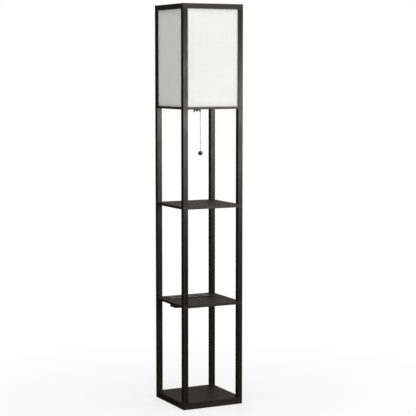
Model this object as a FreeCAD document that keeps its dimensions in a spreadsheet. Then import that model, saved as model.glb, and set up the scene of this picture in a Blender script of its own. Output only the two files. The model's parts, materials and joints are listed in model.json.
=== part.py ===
"""Shelf floor lamp: a square timber tower with a fabric-panelled light box over three open bays.

The origin is the centre of the base's underside, +Z is up, the front faces -Y and lengths are in mm.
Boards and frames are stacked between short posts: base, lower shelf, middle shelf, shade ring, top frame.
"""
import FreeCAD, Part
import math
import os
import re
import Sketcher
from FreeCAD import Placement, Rotation, Vector

# Driving dimensions. Everything else is worked out from these.
SIZES = {
    # timber frame
    "plan_width": 260.0,
    "plan_depth": 260.0,
    "post_side": 20.5,
    "post_length": 377.5,
    "base_thickness": 26.5,
    "shelf_thickness": 10.5,
    "ring_thickness": 9.5,
    "top_rail_height": 20.5,
    "edge_ease": 0.7,
    # studs, bolts and dowels, all of one bore
    "stud_diameter": 6.0,
    "stud_clearance": 0.1,
    "stud_bite": 21.5,
    "bore_spare": 1.5,
    "bolt_head_diameter": 12.0,
    "bolt_head_height": 3.4,
    "bolt_head_sink": 0.6,
    "dowel_rise": 8.0,
    "dowel_length": 30.0,
    "butt_dowel_bite": 6.0,
    "butt_dowel_inset": 6.0,
    # shade panels
    "panel_thickness": 1.5,
    "panel_recess": 6.0,
    "panel_bite": 4.0,
    "panel_foot": 2.3,
    "groove_clearance": 0.2,
    # strap that carries the lamp holder
    "socket_back": 13.0,
    "strap_width": 18.0,
    "strap_thickness": 2.0,
    "strap_gap": 1.0,
    "strap_bend_inset": 3.0,
    "strap_bend_run": 8.0,
    "strap_corner": 3.0,
    "strap_screw_inset": 6.0,
    "screw_diameter": 3.8,
    "screw_head_diameter": 7.4,
    "screw_head_height": 2.4,
    "screw_bite": 7.0,
    "screw_clearance": 0.1,
    # lamp holder
    "nipple_diameter": 9.8,
    "nipple_wall": 1.3,
    "nipple_drop": 12.6,
    "thread_clearance": 0.1,
    "cap_hub_radius": 8.0,
    "cap_hub_height": 9.2,
    "cap_height": 22.0,
    "cap_step": 6.0,
    "socket_radius": 20.0,
    "cap_wall": 1.4,
    "cap_slant_wall": 2.1,
    "shell_gap": 0.2,
    "shell_wall": 1.4,
    "shell_height": 46.0,
    "shell_rim": 3.0,
    "shell_rim_step": 1.0,
    "core_height": 30.0,
    "core_clearance": 0.8,
    "screw_shell_height": 25.0,
    "screw_shell_wall": 0.5,
    "lamp_cap_clearance": 0.3,
    "contact_rise": 3.0,
    "contact_width": 5.0,
    "contact_length": 14.0,
    "contact_foot": 2.4,
    "contact_crown": 4.0,
    "contact_room": 1.0,
    "contact_strip": 0.6,
    # wing nut under the strap
    "wing_nut_radius": 9.5,
    "wing_nut_neck": 7.0,
    "wing_nut_height": 7.5,
    "wing_nut_shoulder": 1.9,
    "wing_span": 32.5,
    "wing_height": 15.0,
    "wing_width": 5.5,
    "wing_thickness": 2.8,
    "wing_root_bite": 1.0,
    "wing_root_top": 1.5,
    "wing_bend_top": 4.0,
    "wing_lean": 1.8,
    "wing_taper": 1.1,
    "wing_tip_round": 1.8,
    # bulb
    "lamp_cap_radius": 13.0,
    "lamp_cap_height": 20.0,
    "lamp_tip_radius": 4.0,
    "lamp_tip_height": 4.0,
    "lamp_tip_rim": 1.3,
    "thread_pitch": 3.6,
    "thread_depth": 0.8,
    "bulb_radius": 30.0,
    "bulb_rise": 52.0,
    "bulb_neck_radius": 13.6,
    "bulb_collar": 3.4,
    "bulb_wall": 1.2,
    # pull switch and chain
    "chain_reach": 29.0,
    "arm_width": 14.0,
    "arm_height": 14.0,
    "arm_lift": 24.0,
    "arm_nose": 7.5,
    "arm_rounding": 0.45,
    "arm_roof": 2.5,
    "guide_bore": 2.2,
    "guide_wall": 0.7,
    "guide_drop": 12.0,
    "guide_grip": 7.0,
    "mouth_radius": 5.4,
    "mouth_height": 5.0,
    "bead_radius": 1.6,
    "bead_pitch": 4.2,
    "wire_radius": 0.5,
    "link_gap": 0.25,
    "swivel_rise": 2.0,
    "anchor_beads": 4,
    "hanging_beads": 44,
    "ball_radius": 9.0,
    "stop_radius": 2.6,
    "stop_height": 3.0,
    "stop_recess": 4.2,
    "ball_cover": 1.0,
    "ball_bore_gap": 0.3,
    # charging module let into the lower shelf
    "module_from_left": 120.0,
    "module_from_rear": 62.5,
    "housing_length": 148.0,
    "housing_width": 51.0,
    "housing_depth": 27.0,
    "housing_wall": 2.0,
    "housing_corner": 3.0,
    "cut_margin": 2.0,
    "deck_length": 186.0,
    "deck_width": 78.0,
    "deck_back": 8.5,
    "deck_thickness": 2.5,
    "deck_corner": 4.0,
    "deck_ease": 0.8,
    "skirt_gap": 0.3,
    "skirt_wall": 2.0,
    "skirt_short": 1.0,
    "ear_length": 12.0,
    "ear_width": 20.0,
    "ear_thickness": 2.5,
    "insert_gap": 0.2,
    "insert_lip": 2.0,
    "insert_proud": 1.2,
    "insert_ease": 0.6,
    "outlet_x": -40.0,
    "outlet_length": 34.0,
    "outlet_width": 28.0,
    "outlet_depth": 18.0,
    "blade_spacing": 12.7,
    "blade_slot": 2.2,
    "blade_slot_long": 8.6,
    "blade_slot_short": 7.2,
    "blade_rise": 4.0,
    "earth_hole": 5.2,
    "earth_drop": 11.9,
    "slot_depth": 13.0,
    "usb_x": 35.0,
    "usb_length": 38.0,
    "usb_width": 14.0,
    "usb_depth": 15.0,
    "port_length": 12.6,
    "port_width": 5.2,
    "port_spacing": 18.0,
    "port_depth": 12.0,
    "tongue_length": 11.0,
    "tongue_thickness": 1.9,
    "tongue_rise": 10.5,
    "board_margin": 5.0,
    "board_thickness": 1.6,
    "boss_radius": 3.0,
    "boss_height": 4.0,
    "boss_inset": 10.0,
    "bushing_offset": 50.0,
    "bushing_radius": 4.5,
    "bushing_bore": 3.0,
    "bushing_flange": 7.0,
    "bushing_flange_thickness": 2.0,
    "bushing_bevel": 1.0,
    "bushing_gap": 0.1,
}

doc = FreeCAD.newDocument("ShelfFloorLamp")
sheet = doc.addObject("Spreadsheet::Sheet", "Sizes")
for row, (name, number) in enumerate(SIZES.items(), start=1):
    sheet.set(f"A{row}", name)
    sheet.set(f"B{row}", str(number))
    sheet.setAlias(f"B{row}", name)
doc.recompute()

# Levels and reaches that many pieces share, as formulas of the driving dimensions.
LOWER_SHELF = "(base_thickness + post_length)"
MIDDLE_SHELF = "(base_thickness + 2 * post_length + shelf_thickness)"
RING = "(base_thickness + 3 * post_length + 2 * shelf_thickness)"
RING_TOP = f"({RING} + ring_thickness)"
TOP_FRAME = f"({RING_TOP} + post_length)"
POST_X = "(plan_width / 2 - post_side / 2)"
POST_Y = "(plan_depth / 2 - post_side / 2)"
BORE_RADIUS = "(stud_diameter / 2 + stud_clearance)"
GROOVE_OUT = "(post_side / 2 - panel_recess - panel_thickness / 2)"
GROOVE_WIDTH = "(panel_thickness + 2 * groove_clearance)"
GROOVE_DEPTH = "(panel_bite + groove_clearance)"
SPAN_X = "(plan_width - 2 * post_side)"
SPAN_Y = "(plan_depth - 2 * post_side)"
SHELF_TOP = f"({LOWER_SHELF} + shelf_thickness)"
# Each corner's side in X and in Y, and the turn that faces its post's grooves inward.
CORNERS = {
    "front_left": (-1, -1, 0),
    "front_right": (1, -1, 90),
    "rear_right": (1, 1, 180),
    "rear_left": (-1, 1, 270),
}
SOCKET_FLOOR = f"({RING} + strap_thickness)"
SCREW_HOLE = "(screw_diameter / 2 + screw_clearance)"
SCREW_PILOT = "(screw_bite + screw_clearance)"
# Each strap screw, from the lamp's middle and from the side rail's own centre line.
STRAP_SCREW = f"({SPAN_X} / 2 + strap_screw_inset)"
STRAP_SCREW_IN = "(post_side / 2 - strap_screw_inset)"
# The charging module's middle, its inside, its cut-out in the lower shelf and its two screwed ears.
MODULE_X = "(module_from_left - plan_width / 2)"
MODULE_Y = "(plan_depth / 2 - module_from_rear)"
INSIDE_LENGTH = "(housing_length - 2 * housing_wall)"
INSIDE_WIDTH = "(housing_width - 2 * housing_wall)"
CUT_LENGTH = f"({INSIDE_LENGTH} - 2 * cut_margin)"
CUT_WIDTH = f"({INSIDE_WIDTH} - 2 * cut_margin)"
EAR_REACH = "(housing_length / 2 + ear_length / 2)"
EAR_POINTS = [(f"{MODULE_X} - {EAR_REACH}", MODULE_Y), (f"{MODULE_X} + {EAR_REACH}", MODULE_Y)]

# The sketcher's numbers for the points of a line or circle.
START, END, CENTRE = range(1, 4)
# An edge this near to an axis, as a cosine, lies along it.
NEARLY = 0.99
# A pocket that removes less than this many cubic millimetres has missed its solid.
LEAST_CUT = 0.01


# Helpers -----------------------------------------------------------------------------------------

def sized(formula):
    """A formula of size names, turned into one that reads the sheet."""
    def look_up(word):
        return f"Sizes.{word.group()}" if word.group() in SIZES else word.group()
    return re.sub(r"[a-z_]+", look_up, str(formula))


def size(name):
    """A size as a number, for the pieces whose shape is worked out in code."""
    return float(sheet.get(name))


def bind(thing, formulas):
    for path, formula in formulas.items():
        thing.setExpression(path, sized(formula))


def settle(thing, x, y, z, turn=0):
    """Place a sub-part; x, y and z are formulas, turn is in degrees about +Z."""
    thing.Placement = Placement(Vector(), Rotation(Vector(0, 0, 1), turn))
    bind(thing, {"Placement.Base.x": x, "Placement.Base.y": y, "Placement.Base.z": z})


def new_body(label, x="0", y="0", z="0", turn=0):
    body = doc.addObject("PartDesign::Body", label)
    body.Label = label
    settle(body, x, y, z, turn)
    nodes.append(body)
    return body


def new_sketch(body, plane, offset=("0", "0", "0")):
    """A sketch on one of the body's own planes, moved by formulas along the plane's own axes."""
    sketch = body.newObject("Sketcher::SketchObject", f"{body.Name}_sketch")
    sketch.AttachmentSupport = [([f for f in body.Origin.OriginFeatures if f.Role == plane][0], "")]
    sketch.MapMode = "FlatFace"
    bind(sketch, {f"AttachmentOffset.Base.{axis}": formula for axis, formula in zip("xyz", offset)})
    return sketch


def pin(sketch, geometry, point, x, y):
    """Hold one point of a sketch at formulas x and y from its origin."""
    for kind, formula in (("DistanceX", x), ("DistanceY", y)):
        number = sketch.addConstraint(Sketcher.Constraint(kind, -1, 1, geometry, point, 1.0))
        name = f"{kind}_{geometry}_{point}"
        sketch.renameConstraint(number, name)
        sketch.setExpression(f"Constraints.{name}", sized(formula))


def outline(sketch, points):
    """A closed polygon through points given as pairs of formulas."""
    first = sketch.GeometryCount
    count = len(points)
    step = 2 * math.pi / count
    start = [Vector(math.cos(step * index), math.sin(step * index)) for index in range(count)]
    for index in range(count):
        sketch.addGeometry(Part.LineSegment(start[index], start[(index + 1) % count]))
    for index in range(count):
        following = first + (index + 1) % count
        sketch.addConstraint(Sketcher.Constraint("Coincident", first + index, END, following, START))
    for index, (x, y) in enumerate(points):
        pin(sketch, first + index, START, x, y)


def oblong(sketch, length, width, x="0", y="0"):
    """A rectangle about the point x, y."""
    corners = ((-1, -1), (1, -1), (1, 1), (-1, 1))
    outline(sketch, [(f"{x} + ({i}) * ({length}) / 2", f"{y} + ({j}) * ({width}) / 2") for i, j in corners])


def rounds(sketch, radius, centres):
    """Circles of one radius."""
    for x, y in centres:
        number = sketch.addGeometry(Part.Circle(Vector(1, 1, 0), Vector(0, 0, 1), 1))
        pin(sketch, number, CENTRE, x, y)
        held = sketch.addConstraint(Sketcher.Constraint("Radius", number, 1.0))
        sketch.renameConstraint(held, f"radius_{number}")
        sketch.setExpression(f"Constraints.radius_{number}", sized(radius))


def pad(body, sketch, length, down=False, both_ways=False):
    feature = body.newObject("PartDesign::Pad", f"{body.Name}_pad")
    feature.Profile = sketch
    feature.Reversed = down
    feature.Midplane = both_ways
    bind(feature, {"Length": length})
    return feature


def pocket(body, sketch, depth, up=False):
    """Cut from the sketch against its normal, or along it when up is true."""
    feature = body.newObject("PartDesign::Pocket", f"{body.Name}_pocket")
    feature.Profile = sketch
    feature.Reversed = up
    bind(feature, {"Length": depth})
    return feature


def turned(label, points, x="0", y="0", z="0"):
    """A body turned about its own Z axis from a profile of (radius, height) formulas."""
    body = new_body(label, x, y, z)
    sketch = new_sketch(body, "XZ_Plane")
    outline(sketch, points)
    feature = body.newObject("PartDesign::Revolution", f"{label}_turn")
    feature.Profile = sketch
    feature.ReferenceAxis = (sketch, ["V_Axis"])
    feature.Angle = 360.0
    return body


def edges_where(feature, wanted):
    """Names of the feature's edges whose middle point and direction pass the test."""
    doc.recompute()
    names = []
    for number, edge in enumerate(feature.Shape.Edges, start=1):
        ends = [vertex.Point for vertex in edge.Vertexes]
        if len(ends) == 2 and wanted((ends[0] + ends[1]) / 2, (ends[1] - ends[0]).normalize()):
            names.append(f"Edge{number}")
    return names


def ease(body, wanted, amount, kind="Chamfer"):
    """Chamfer or fillet the tip's edges that pass the test."""
    base = body.Tip
    names = edges_where(base, wanted)
    feature = body.newObject(f"PartDesign::{kind}", f"{body.Name}_{kind.lower()}")
    feature.Base = (base, names)
    bind(feature, {"Size" if kind == "Chamfer" else "Radius": amount})
    return feature


def every_edge(middle, direction):
    return True


def upright(middle, direction):
    return abs(direction.z) > NEARLY


def along_x(middle, direction):
    return abs(direction.x) > NEARLY


def around_top(height):
    """A test for the level edges of a top face at this height."""
    return lambda middle, direction: abs(direction.z) < 1 - NEARLY and middle.z > NEARLY * height


def rod(radius, height, x, y, z, axis=Vector(0, 0, 1)):
    """A plain cylinder that starts at x, y, z and runs along axis."""
    cylinder = doc.addObject("Part::Cylinder", "rod")
    cylinder.Placement = Placement(Vector(), Rotation(Vector(0, 0, 1), axis))
    bind(cylinder, {
        "Radius": radius, "Height": height,
        "Placement.Base.x": x, "Placement.Base.y": y, "Placement.Base.z": z,
    })
    return cylinder


def joined(first, second):
    piece = doc.addObject("Part::Fuse", "joined")
    piece.Base = first
    piece.Tool = second
    return piece


def group(label, pieces):
    """Identical loose pieces that share one node."""
    bundle = doc.addObject("Part::Compound", label)
    bundle.Label = label
    bundle.Links = pieces
    nodes.append(bundle)
    return bundle


def made(label, shape, x, y, z):
    """A piece whose shape is worked out in code and then placed."""
    feature = doc.addObject("Part::Feature", label)
    feature.Label = label
    feature.Shape = shape
    settle(feature, x, y, z)
    nodes.append(feature)
    return feature


nodes = []


# Timber frame ------------------------------------------------------------------------------------

def corner_points(x=POST_X, y=POST_Y):
    return [(f"({i}) * {x}", f"({j}) * {y}") for i, j, turn in CORNERS.values()]


def base_board():
    body = new_body("base_board")
    plan = new_sketch(body, "XY_Plane")
    oblong(plan, "plan_width", "plan_depth")
    pad(body, plan, "base_thickness")
    ease(body, every_edge, "edge_ease")
    bores = new_sketch(body, "XY_Plane")
    rounds(bores, BORE_RADIUS, corner_points())
    pocket(body, bores, "base_thickness", up=True)
    heads = new_sketch(body, "XY_Plane")
    rounds(heads, "bolt_head_diameter / 2 + stud_clearance", corner_points())
    pocket(body, heads, "bolt_head_height + bolt_head_sink", up=True)


def post(label, corner, foot, grooved=False):
    """A square post with a bore in each end, and two panel grooves where it holds the shade."""
    i, j, turn = CORNERS[corner]
    body = new_body(label, f"({i}) * {POST_X}", f"({j}) * {POST_Y}", foot, turn)
    section = new_sketch(body, "XY_Plane")
    oblong(section, "post_side", "post_side")
    pad(body, section, "post_length")
    ease(body, upright, "edge_ease")
    for end, up in (("0", True), ("post_length", False)):
        bore = new_sketch(body, "XY_Plane", ("0", "0", end))
        rounds(bore, BORE_RADIUS, [("0", "0")])
        pocket(body, bore, "stud_bite + bore_spare", up)
    if grooved:
        grooves = new_sketch(body, "XY_Plane")
        inward = f"post_side / 2 - {GROOVE_DEPTH} / 2"
        oblong(grooves, GROOVE_DEPTH, GROOVE_WIDTH, inward, f"-{GROOVE_OUT}")
        oblong(grooves, GROOVE_WIDTH, GROOVE_DEPTH, f"-{GROOVE_OUT}", inward)
        pocket(body, grooves, "post_length", up=True)


def posts():
    floors = {
        "bottom": "base_thickness",
        "lower": f"{LOWER_SHELF} + shelf_thickness",
        "upper": f"{MIDDLE_SHELF} + shelf_thickness",
        "shade": RING_TOP,
    }
    for bay, foot in floors.items():
        for corner in CORNERS:
            post(f"{bay}_post_{corner}", corner, foot, grooved=bay == "shade")


def shelf(label, height):
    body = new_body(label, z=height)
    plan = new_sketch(body, "XY_Plane")
    oblong(plan, "plan_width", "plan_depth")
    pad(body, plan, "shelf_thickness")
    ease(body, every_edge, "edge_ease")
    bores = new_sketch(body, "XY_Plane")
    rounds(bores, BORE_RADIUS, corner_points())
    pocket(body, bores, "shelf_thickness", up=True)
    return body


def lower_shelf():
    """The shelf with the module's cut-out and the pilot holes of the two housing screws."""
    body = shelf("lower_shelf", LOWER_SHELF)
    cut = new_sketch(body, "XY_Plane")
    oblong(cut, CUT_LENGTH, CUT_WIDTH, MODULE_X, MODULE_Y)
    pocket(body, cut, "shelf_thickness", up=True)
    pilots = new_sketch(body, "XY_Plane")
    rounds(pilots, SCREW_HOLE, EAR_POINTS)
    pocket(body, pilots, SCREW_PILOT, up=True)


def frame_rail(label, side, foot, height, across, ends_meet_posts):
    """One rail of the shade ring or the top frame.

    Rails along X run the full width and lie on the posts. Rails along Y fit between those two.
    """
    is_ring = height == "ring_thickness"
    turn = {"front": 0, "right": 90, "rear": 180, "left": 270}[side]
    place = {
        "front": ("0", f"-{POST_Y}"),
        "rear": ("0", POST_Y),
        "left": (f"-{POST_X}", "0"),
        "right": (POST_X, "0"),
    }[side]
    body = new_body(label, *place, foot, turn)
    plan = new_sketch(body, "XY_Plane")
    oblong(plan, across, "post_side")
    pad(body, plan, height)
    ease(body, along_x, "edge_ease")
    groove = new_sketch(body, "XY_Plane", ("0", "0", height if is_ring else "0"))
    span = SPAN_X if ends_meet_posts else SPAN_Y
    groove_length = f"({span} + 2 * {GROOVE_DEPTH})" if ends_meet_posts else span
    oblong(groove, groove_length, GROOVE_WIDTH, "0", f"-{GROOVE_OUT}")
    if ends_meet_posts:
        # the side panels' corners reach a little way into these rails
        for side_x in (f"-({POST_X} + {GROOVE_OUT})", f"{POST_X} + {GROOVE_OUT}"):
            oblong(groove, GROOVE_WIDTH, GROOVE_DEPTH, side_x, f"post_side / 2 - {GROOVE_DEPTH} / 2")
    pocket(body, groove, "panel_foot", up=not is_ring)
    if ends_meet_posts:
        bores = new_sketch(body, "XY_Plane")
        rounds(bores, BORE_RADIUS, [(f"-{POST_X}", "0"), (POST_X, "0")])
        pocket(body, bores, height if is_ring else "dowel_rise + stud_clearance", up=True)
    return body


def butt_bores(body, is_ring, ends_meet_posts, across):
    """Bores for the dowel that joins each pair of rails."""
    height = "ring_thickness / 2" if is_ring else "top_rail_height - butt_dowel_inset"
    if ends_meet_posts:
        bores = new_sketch(body, "XZ_Plane", ("0", "0", "-post_side / 2"))
        rounds(bores, BORE_RADIUS, [(f"-{POST_X}", height), (POST_X, height)])
        pocket(body, bores, "butt_dowel_bite + stud_clearance", up=True)
        return
    for end, up in ((f"-{across} / 2", True), (f"{across} / 2", False)):
        bores = new_sketch(body, "YZ_Plane", ("0", "0", end))
        rounds(bores, BORE_RADIUS, [("0", height)])
        pocket(body, bores, "dowel_length - butt_dowel_bite + stud_clearance", up)


def square_frame(name, foot, height):
    is_ring = height == "ring_thickness"
    for side in ("front", "rear", "left", "right"):
        ends_meet_posts = side in ("front", "rear")
        across = "plan_width" if ends_meet_posts else SPAN_Y
        body = frame_rail(f"{name}_{side}", side, foot, height, across, ends_meet_posts)
        butt_bores(body, is_ring, ends_meet_posts, across)
        if is_ring and not ends_meet_posts:
            pilot = new_sketch(body, "XY_Plane", ("0", "0", height))
            along = "socket_back" if side == "right" else "-socket_back"
            rounds(pilot, SCREW_HOLE, [(along, STRAP_SCREW_IN)])
            pocket(body, pilot, SCREW_PILOT)


def shade_panels():
    height = "post_length + 2 * panel_foot"
    places = {
        "front": (SPAN_X, "0", f"-({POST_Y} + {GROOVE_OUT})", 0),
        "rear": (SPAN_X, "0", f"({POST_Y} + {GROOVE_OUT})", 180),
        "left": (SPAN_Y, f"-({POST_X} + {GROOVE_OUT})", "0", 270),
        "right": (SPAN_Y, f"({POST_X} + {GROOVE_OUT})", "0", 90),
    }
    for side, (span, x, y, turn) in places.items():
        body = new_body(f"shade_panel_{side}", x, y, f"{RING_TOP} - panel_foot", turn)
        plan = new_sketch(body, "XY_Plane")
        oblong(plan, f"{span} + 2 * panel_bite", "panel_thickness")
        pad(body, plan, height)


# Hidden joinery ----------------------------------------------------------------------------------

def post_studs():
    """Plain studs that pin each board and the ring between the posts above and below it."""
    boards = ((LOWER_SHELF, "shelf_thickness"), (MIDDLE_SHELF, "shelf_thickness"), (RING, "ring_thickness"))
    studs = []
    for foot, thickness in boards:
        length = f"{thickness} + 2 * stud_bite"
        for x, y in corner_points():
            studs.append(rod("stud_diameter / 2", length, x, y, f"{foot} - stud_bite"))
    group("post_studs", studs)


def base_bolts():
    """Flat-headed bolts, sunk in the base's underside."""
    bolts = []
    length = "base_thickness + stud_bite - bolt_head_sink"
    for x, y in corner_points():
        head = rod("bolt_head_diameter / 2", "bolt_head_height", x, y, "bolt_head_sink")
        shank = rod("stud_diameter / 2", length, x, y, "bolt_head_sink")
        bolts.append(joined(head, shank))
    group("base_bolts", bolts)


def frame_dowels():
    """Glued dowels: upright ones from the shade posts into the top frame, level ones in the butt joints."""
    foot = f"{TOP_FRAME} - (dowel_length - dowel_rise)"
    dowels = [rod("stud_diameter / 2", "dowel_length", x, y, foot) for x, y in corner_points()]
    ring_height = f"{RING} + ring_thickness / 2"
    top_height = f"{TOP_FRAME} + top_rail_height - butt_dowel_inset"
    for height in (ring_height, top_height):
        for i, j, turn in CORNERS.values():
            x = f"({i}) * {POST_X}"
            y = f"({j}) * ({SPAN_Y} / 2 + butt_dowel_bite)"
            dowels.append(rod("stud_diameter / 2", "dowel_length", x, y, height, Vector(0, -j, 0)))
    group("frame_dowels", dowels)


# Strap and lamp holder ---------------------------------------------------------------------------

STRAP_END = "(plan_width / 2 - panel_recess - panel_thickness - strap_gap)"
NIPPLE_HOLE = "(nipple_diameter / 2 + thread_clearance)"
SHELL_FOOT = "(cap_height - cap_step)"
# The cap's cone widens from the hub to the shell's foot; this is its inside at the hub's top.
CAP_SLANT = f"(socket_radius - cap_hub_radius) * cap_hub_height / {SHELL_FOOT}"
CAP_INNER_FOOT = f"(cap_hub_radius + {CAP_SLANT} - cap_slant_wall)"
SHELL_OUTER = "(socket_radius - cap_wall - shell_gap)"
SHELL_INNER = f"({SHELL_OUTER} - shell_wall)"
CORE_RADIUS = f"({SHELL_INNER} - shell_gap)"
CORE_TOP = "(cap_hub_height + core_height)"
LAMP_TIP = f"({SOCKET_FLOOR} + {CORE_TOP} + contact_rise)"


def mirrored(points):
    """The same points on the other side of the upright axis, in the opposite order."""
    return [(f"-({x})", z) for x, z in reversed(points)]


def socket_strap():
    """A flat bar whose cranked ends lie on the ring's side rails."""
    body = new_body("socket_strap", y="socket_back", z=RING)
    bend_out = f"({SPAN_X} / 2 - strap_bend_inset)"
    bend_in = f"({bend_out} - strap_bend_run)"
    lean = "strap_thickness / 2"
    under = [(STRAP_END, "ring_thickness"), (bend_out, "ring_thickness"), (bend_in, "0")]
    over = [
        (f"{bend_in} - {lean}", "strap_thickness"),
        (f"{bend_out} - {lean}", "ring_thickness + strap_thickness"),
        (STRAP_END, "ring_thickness + strap_thickness"),
    ]
    side = new_sketch(body, "XZ_Plane")
    outline(side, under + mirrored(under) + mirrored(over) + over)
    pad(body, side, "strap_width", both_ways=True)
    ease(body, upright, "strap_corner", "Fillet")
    holes = new_sketch(body, "XY_Plane")
    rounds(holes, NIPPLE_HOLE, [("0", "0")])
    rounds(holes, SCREW_HOLE, [(f"-{STRAP_SCREW}", "0"), (STRAP_SCREW, "0")])
    pocket(body, holes, "ring_thickness + strap_thickness", up=True)


def screw(x, y, seat, down):
    """A pan-headed screw: the head's underside is at seat and the shank runs down or up from it."""
    toward = Vector(0, 0, -1 if down else 1)
    away = Vector(0, 0, 1 if down else -1)
    head = rod("screw_head_diameter / 2", "screw_head_height", x, y, seat, away)
    held = "strap_thickness" if down else "ear_thickness"
    shank = rod("screw_diameter / 2", f"{held} + screw_bite", x, y, seat, toward)
    return joined(head, shank)


def strap_screws():
    seat = f"{RING_TOP} + strap_thickness"
    sides = (f"-{STRAP_SCREW}", STRAP_SCREW)
    group("strap_screws", [screw(x, "socket_back", seat, down=True) for x in sides])


def lamp_nipple():
    top = "(nipple_drop + strap_thickness + cap_hub_height)"
    outer = "nipple_diameter / 2"
    inner = "nipple_diameter / 2 - nipple_wall"
    turned("lamp_nipple", [(inner, "0"), (outer, "0"), (outer, top), (inner, top)],
           y="socket_back", z=f"{RING} - nipple_drop")


def wing_nut():
    """The nut under the strap, with its two wings hanging down."""
    body = turned("wing_nut", [
        (NIPPLE_HOLE, "0"), (NIPPLE_HOLE, "-wing_nut_height"), ("wing_nut_neck", "-wing_nut_height"),
        ("wing_nut_radius", "-wing_nut_shoulder"), ("wing_nut_radius", "0"),
    ], y="socket_back", z=RING)
    tip = "wing_span / 2"
    root = "wing_nut_neck - wing_root_bite"
    knee = "-(wing_height - wing_width)"
    wing = [
        (root, "-wing_nut_height"),
        (root, "-wing_root_top"),
        (f"{tip} - wing_lean", "-wing_bend_top"),
        (tip, knee),
        (tip, "-wing_height"),
        (f"{tip} - wing_width", "-wing_height"),
        (f"{tip} - wing_width - wing_taper", knee),
    ]
    side = new_sketch(body, "XZ_Plane")
    outline(side, wing)
    outline(side, mirrored(wing))
    pad(body, side, "wing_thickness", both_ways=True)
    tips = -NEARLY * size("wing_height")

    def at_tips(middle, direction):
        return abs(direction.y) > NEARLY and middle.z < tips

    ease(body, at_tips, "wing_tip_round", "Fillet")


def socket_cap():
    """The cup that screws onto the nipple and takes the shell in its rim."""
    inside = "socket_radius - cap_wall"
    turned("socket_cap", [
        (NIPPLE_HOLE, "0"), ("cap_hub_radius", "0"), ("socket_radius", SHELL_FOOT),
        ("socket_radius", "cap_height"), (inside, "cap_height"), (inside, SHELL_FOOT),
        (CAP_INNER_FOOT, "cap_hub_height"), (NIPPLE_HOLE, "cap_hub_height"),
    ], y="socket_back", z=SOCKET_FLOOR)


def socket_shell():
    """The outer sleeve, with a rolled rim and a notch that the switch arm comes out of."""
    top = f"({SHELL_FOOT} + shell_height)"
    rim = f"{SHELL_OUTER} + shell_rim_step"
    body = turned("socket_shell", [
        (SHELL_INNER, SHELL_FOOT), (SHELL_OUTER, SHELL_FOOT),
        (SHELL_OUTER, f"{top} - shell_rim - shell_rim_step"),
        (rim, f"{top} - shell_rim"), (rim, top), (SHELL_INNER, top),
    ], y="socket_back", z=SOCKET_FLOOR)
    notch = new_sketch(body, "XZ_Plane")
    room = "2 * shell_gap"
    oblong(notch, f"arm_width + {room}", f"arm_height + {room}", "0", "arm_lift + arm_height / 2")
    pocket(body, notch, "socket_radius", up=True)


def socket_core():
    """The insulating block inside the shell that holds the contacts and the switch."""
    foot = f"{CAP_INNER_FOOT} - core_clearance"
    turned("socket_core", [
        ("0", "cap_hub_height"), (foot, "cap_hub_height"), (CORE_RADIUS, f"{SHELL_FOOT} - shell_gap"),
        (CORE_RADIUS, CORE_TOP), ("0", CORE_TOP),
    ], y="socket_back", z=SOCKET_FLOOR)


def screw_shell():
    inner = "(lamp_cap_radius + lamp_cap_clearance)"
    outer = f"({inner} + screw_shell_wall)"
    hole = "(contact_length / 2 + contact_room)"
    turned("screw_shell", [
        (hole, "0"), (outer, "0"), (outer, "screw_shell_height"), (inner, "screw_shell_height"),
        (inner, "screw_shell_wall"), (hole, "screw_shell_wall"),
    ], y="socket_back", z=f"{SOCKET_FLOOR} + {CORE_TOP}")


def centre_contact():
    """A sprung strip arched up to the bulb's tip."""
    body = new_body("centre_contact", y="socket_back", z=f"{SOCKET_FLOOR} + {CORE_TOP}")
    end = "contact_length / 2"
    foot = f"{end} - contact_foot"
    crown = "contact_crown / 2"
    under = [(end, "0"), (foot, "0"), (crown, "contact_rise - contact_strip")]
    bend = f"{foot} + contact_strip / 2"
    over = [(crown, "contact_rise"), (bend, "contact_strip"), (end, "contact_strip")]
    side = new_sketch(body, "XZ_Plane")
    outline(side, under + mirrored(under) + mirrored(over) + over)
    pad(body, side, "contact_width", both_ways=True)


# Bulb --------------------------------------------------------------------------------------------

def bulb_cap():
    """The bulb's screw cap, its thread drawn as rings."""
    profile = [("0", "0"), ("lamp_tip_radius", "0"), ("lamp_tip_radius", "lamp_tip_rim")]
    root = "lamp_cap_radius - thread_depth"
    profile.append((root, "lamp_tip_height"))
    for ring in range(int(size("lamp_cap_height") / size("thread_pitch"))):
        profile.append(("lamp_cap_radius", f"lamp_tip_height + thread_pitch * {ring + 0.5}"))
        profile.append((root, f"lamp_tip_height + thread_pitch * {ring + 1}"))
    top = "lamp_tip_height + lamp_cap_height"
    profile += [("lamp_cap_radius", top), ("0", top)]
    turned("bulb_cap", profile, y="socket_back", z=LAMP_TIP)


def bulb_form(neck, radius, centre, foot):
    """A ball on a conical neck, turned from its half outline; the neck's side touches the ball's."""
    collar = foot + size("bulb_collar")
    lean = math.atan2(collar - centre, neck) + math.acos(radius / math.hypot(neck, collar - centre))
    meet = Vector(radius * math.cos(lean), 0, centre + radius * math.sin(lean))
    crown = Vector(0, 0, centre + radius)
    halfway = (lean + math.pi / 2) / 2
    side = Vector(radius * math.cos(halfway), 0, centre + radius * math.sin(halfway))
    foot_middle = Vector(0, 0, foot)
    foot_edge = Vector(neck, 0, foot)
    collar_edge = Vector(neck, 0, collar)
    edges = [
        Part.LineSegment(foot_middle, foot_edge).toShape(),
        Part.LineSegment(foot_edge, collar_edge).toShape(),
        Part.LineSegment(collar_edge, meet).toShape(),
        Part.Arc(meet, side, crown).toShape(),
        Part.LineSegment(crown, foot_middle).toShape(),
    ]
    return Part.Face(Part.Wire(edges)).revolve(Vector(), Vector(0, 0, 1), 360)


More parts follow.
